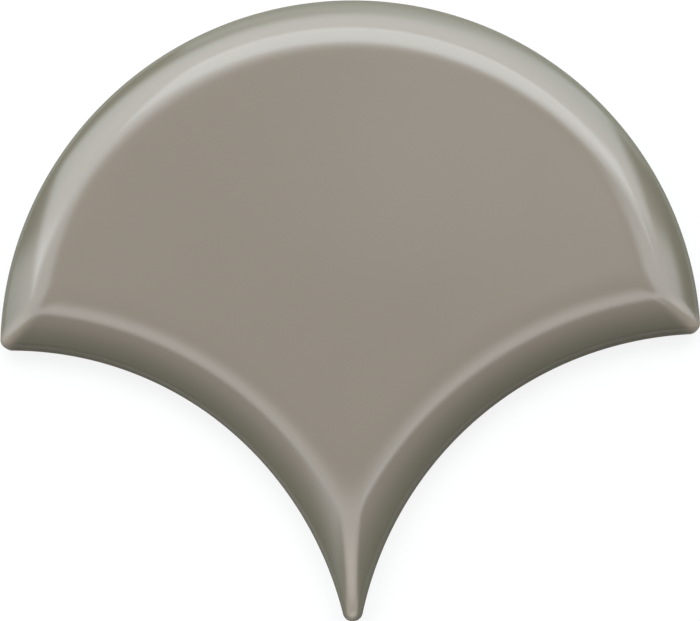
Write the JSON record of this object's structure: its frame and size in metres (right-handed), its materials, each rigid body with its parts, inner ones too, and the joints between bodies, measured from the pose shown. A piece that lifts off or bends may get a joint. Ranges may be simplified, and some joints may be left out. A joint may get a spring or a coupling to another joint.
{
  "type": "fish scale tile",
  "caption": "Glazed ceramic fish scale tile: round head, concave flanks, short rounded tip and a flat raised field framed by a sloping bevel; nests with its neighbours to cover a wall or floor.",
  "frame": {"origin": "centre of the head's arc, on the flat back face", "axes": "+Z out of the glazed face, +Y towards the top of the round head, -Y towards the tip, +X across the tile from shoulder to shoulder"},
  "size_m": [0.12, 0.1075, 0.0075],
  "materials": {
    "glaze": "gloss"
  },
  "bodies": {
    "root": {"fish_scale_tile": "glaze"}
  },
  "joints": []
}
